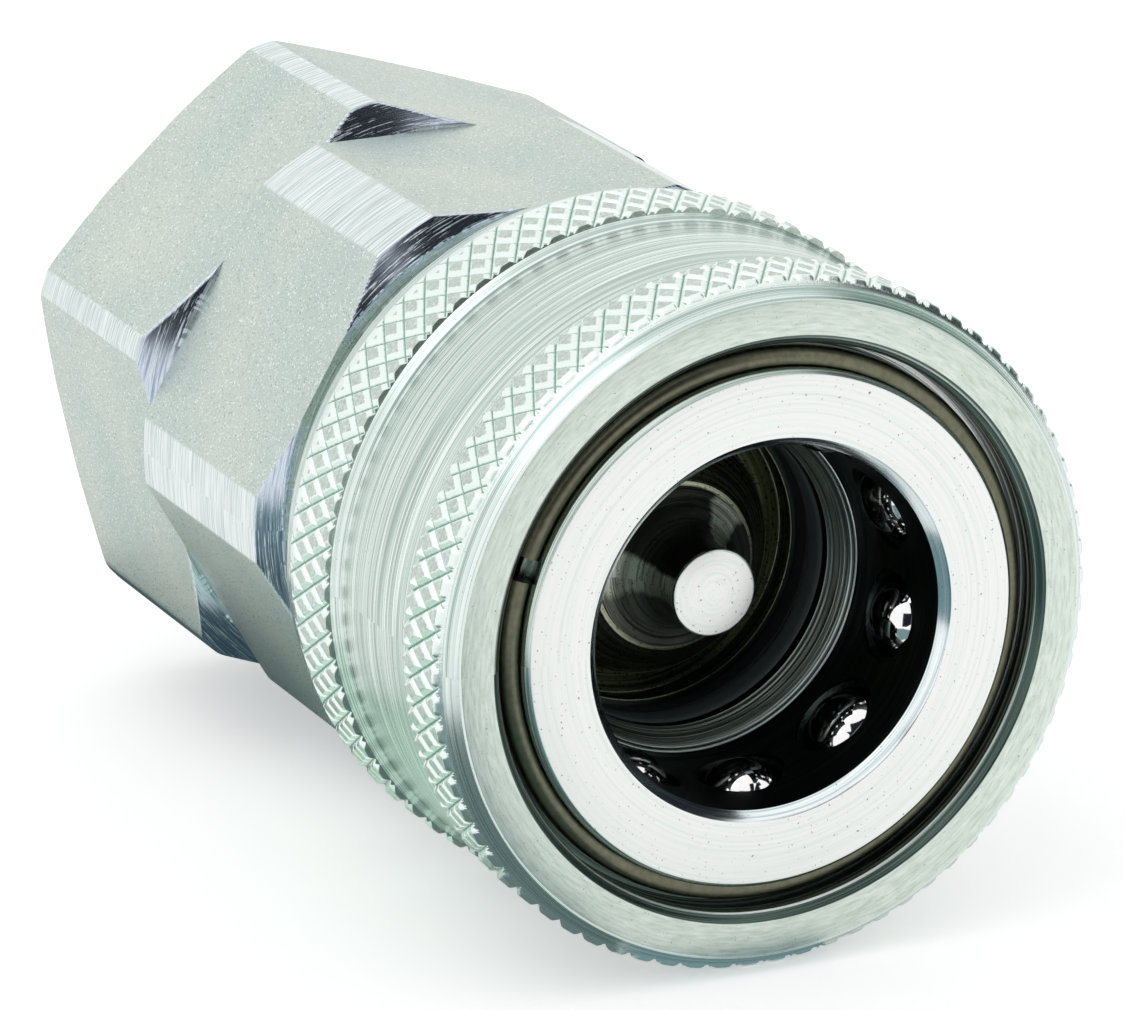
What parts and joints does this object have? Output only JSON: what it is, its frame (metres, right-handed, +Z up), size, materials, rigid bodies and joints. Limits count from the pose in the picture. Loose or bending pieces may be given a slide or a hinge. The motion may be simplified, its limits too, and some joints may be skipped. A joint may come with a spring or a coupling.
{
  "type": "quick disconnect coupler",
  "caption": "Female quick disconnect coupler: hexagonal body with a threaded rear port, knurled pull-back sleeve, ball lock in a round mouth and a sprung poppet valve with a flat tip.",
  "frame": {"origin": "centre of the nose's front face, on the coupler's axis", "axes": "+X along the axis out of the mouth, towards the plug; +Z up, across flats of the body's hexagon"},
  "size_m": [0.0617, 0.0392, 0.0392],
  "materials": {
    "plated_body": "zinc plated, satin with turning marks",
    "plated_sleeve": "zinc plated, turned and knurled",
    "ring_steel": "brown oiled spring steel",
    "ball_steel": "polished",
    "valve_steel": "machined",
    "spring_steel": "drawn wire",
    "seal_rubber": "matt nitrile",
    "backup_plastic": "matt"
  },
  "bodies": {
    "housing": {"body": "plated_body", "adapter": "plated_body", "body_seal": "seal_rubber", "retaining_ring": "ring_steel", "mouth_seal": "seal_rubber", "backup_ring": "backup_plastic", "seat": "valve_steel", "seat_seal": "seal_rubber", "seat_circlip": "spring_steel", "valve_guide": "valve_steel", "valve_spring": "spring_steel"},
    "sleeve_carrier": {"sleeve_spring": "spring_steel"},
    "sleeve": {"sleeve": "plated_sleeve"},
    "valve": {"poppet": "valve_steel", "poppet_seal": "seal_rubber"},
    "ball_01": {"ball_01": "ball_steel"},
    "ball_02": {"ball_02": "ball_steel"},
    "ball_03": {"ball_03": "ball_steel"},
    "ball_04": {"ball_04": "ball_steel"},
    "ball_05": {"ball_05": "ball_steel"},
    "ball_06": {"ball_06": "ball_steel"},
    "ball_07": {"ball_07": "ball_steel"},
    "ball_08": {"ball_08": "ball_steel"},
    "ball_09": {"ball_09": "ball_steel"},
    "ball_10": {"ball_10": "ball_steel"}
  },
  "joints": [
    {"name": "sleeve_turn", "type": "hinge", "parent": "housing", "child": "sleeve_carrier", "pos_m": [0, 0, 0], "axis": [1, 0, 0], "continuous": true},
    {"name": "sleeve_slide", "type": "slide", "parent": "sleeve_carrier", "child": "sleeve", "axis": [-1, 0, 0], "range_m": [0, 0.0042], "stiffness_N_per_m": 3000, "springref_m": -0.008, "deforming": ["sleeve_spring"]},
    {"name": "valve_slide", "type": "slide", "parent": "housing", "child": "valve", "axis": [-1, 0, 0], "range_m": [0, 0.006], "stiffness_N_per_m": 1500, "springref_m": -0.006, "deforming": ["valve_spring"]},
    {"name": "ball_01_slide", "type": "slide", "parent": "housing", "child": "ball_01", "axis": [0, 0.9191, 0.3939], "range_m": [0, 0.00094]},
    {"name": "ball_02_slide", "type": "slide", "parent": "housing", "child": "ball_02", "axis": [0, 0.512, 0.859], "range_m": [0, 0.00094]},
    {"name": "ball_03_slide", "type": "slide", "parent": "housing", "child": "ball_03", "axis": [0, -0.0906, 0.9959], "range_m": [0, 0.00094]},
    {"name": "ball_04_slide", "type": "slide", "parent": "housing", "child": "ball_04", "axis": [0, -0.6587, 0.7524], "range_m": [0, 0.00094]},
    {"name": "ball_05_slide", "type": "slide", "parent": "housing", "child": "ball_05", "axis": [0, -0.9751, 0.2215], "range_m": [0, 0.00094]},
    {"name": "ball_06_slide", "type": "slide", "parent": "housing", "child": "ball_06", "axis": [0, -0.9191, -0.3939], "range_m": [0, 0.00094]},
    {"name": "ball_07_slide", "type": "slide", "parent": "housing", "child": "ball_07", "axis": [0, -0.512, -0.859], "range_m": [0, 0.00094]},
    {"name": "ball_08_slide", "type": "slide", "parent": "housing", "child": "ball_08", "axis": [0, 0.0906, -0.9959], "range_m": [0, 0.00094]},
    {"name": "ball_09_slide", "type": "slide", "parent": "housing", "child": "ball_09", "axis": [0, 0.6587, -0.7524], "range_m": [0, 0.00094]},
    {"name": "ball_10_slide", "type": "slide", "parent": "housing", "child": "ball_10", "axis": [0, 0.9751, -0.2215], "range_m": [0, 0.00094]}
  ],
  "couplings": [
    {"joint": "ball_01_slide", "follows": "sleeve_slide", "ratio": 0.22143},
    {"joint": "ball_02_slide", "follows": "sleeve_slide", "ratio": 0.22143},
    {"joint": "ball_03_slide", "follows": "sleeve_slide", "ratio": 0.22143},
    {"joint": "ball_04_slide", "follows": "sleeve_slide", "ratio": 0.22143},
    {"joint": "ball_05_slide", "follows": "sleeve_slide", "ratio": 0.22143},
    {"joint": "ball_06_slide", "follows": "sleeve_slide", "ratio": 0.22143},
    {"joint": "ball_07_slide", "follows": "sleeve_slide", "ratio": 0.22143},
    {"joint": "ball_08_slide", "follows": "sleeve_slide", "ratio": 0.22143},
    {"joint": "ball_09_slide", "follows": "sleeve_slide", "ratio": 0.22143},
    {"joint": "ball_10_slide", "follows": "sleeve_slide", "ratio": 0.22143}
  ]
}
